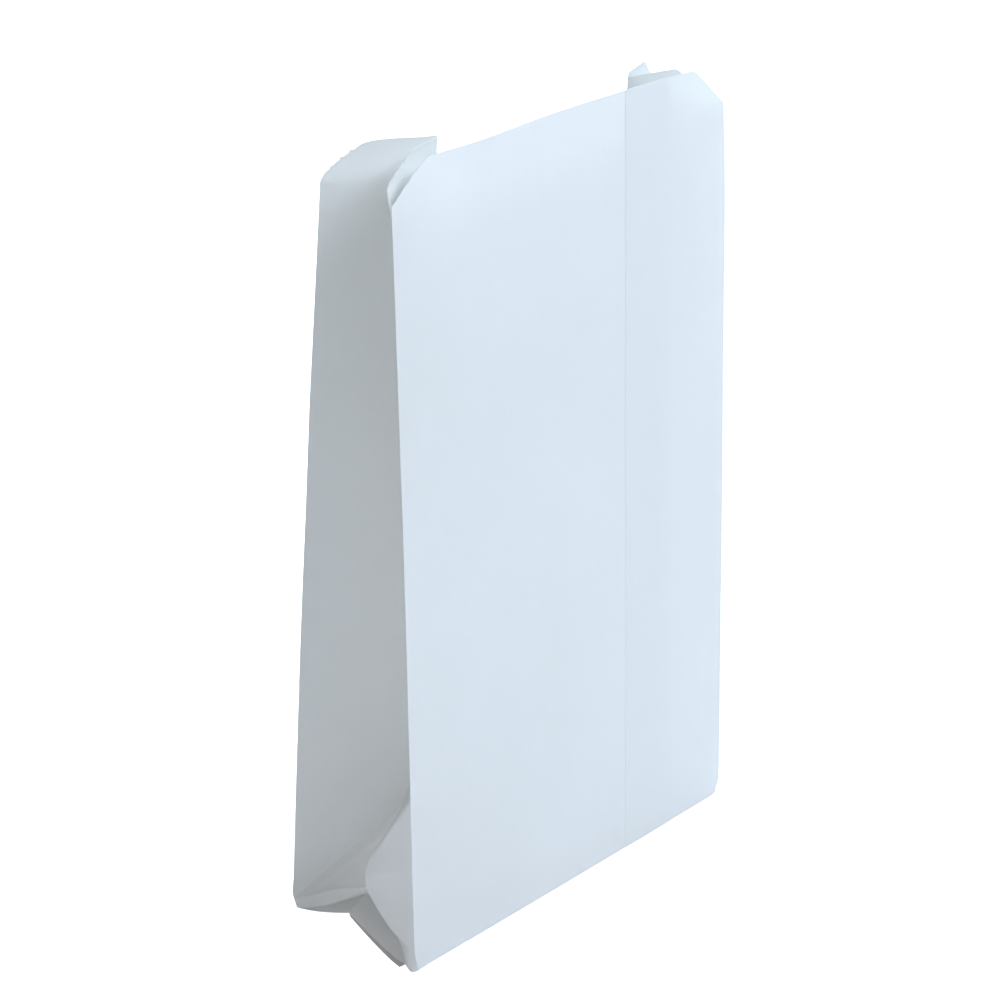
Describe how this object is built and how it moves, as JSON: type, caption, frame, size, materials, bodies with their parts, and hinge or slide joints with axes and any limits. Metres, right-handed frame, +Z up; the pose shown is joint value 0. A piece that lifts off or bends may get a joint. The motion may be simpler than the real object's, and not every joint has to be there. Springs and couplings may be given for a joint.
{
  "type": "paper bag",
  "caption": "Plain white paper bag with folded side gussets and a turned-and-pasted bottom, standing open, with a toothed cut edge at the top.",
  "frame": {"origin": "middle of the bag's width and depth, on the level it stands on", "axes": "+Z up to the open mouth; the front panel, which carries the long pasted seam, faces -Y; +X runs across the front from left to right"},
  "size_m": [0.1574, 0.0524, 0.2557],
  "materials": {
    "paper": "matt"
  },
  "bodies": {
    "root": {"paper_bag": "paper"}
  },
  "joints": []
}
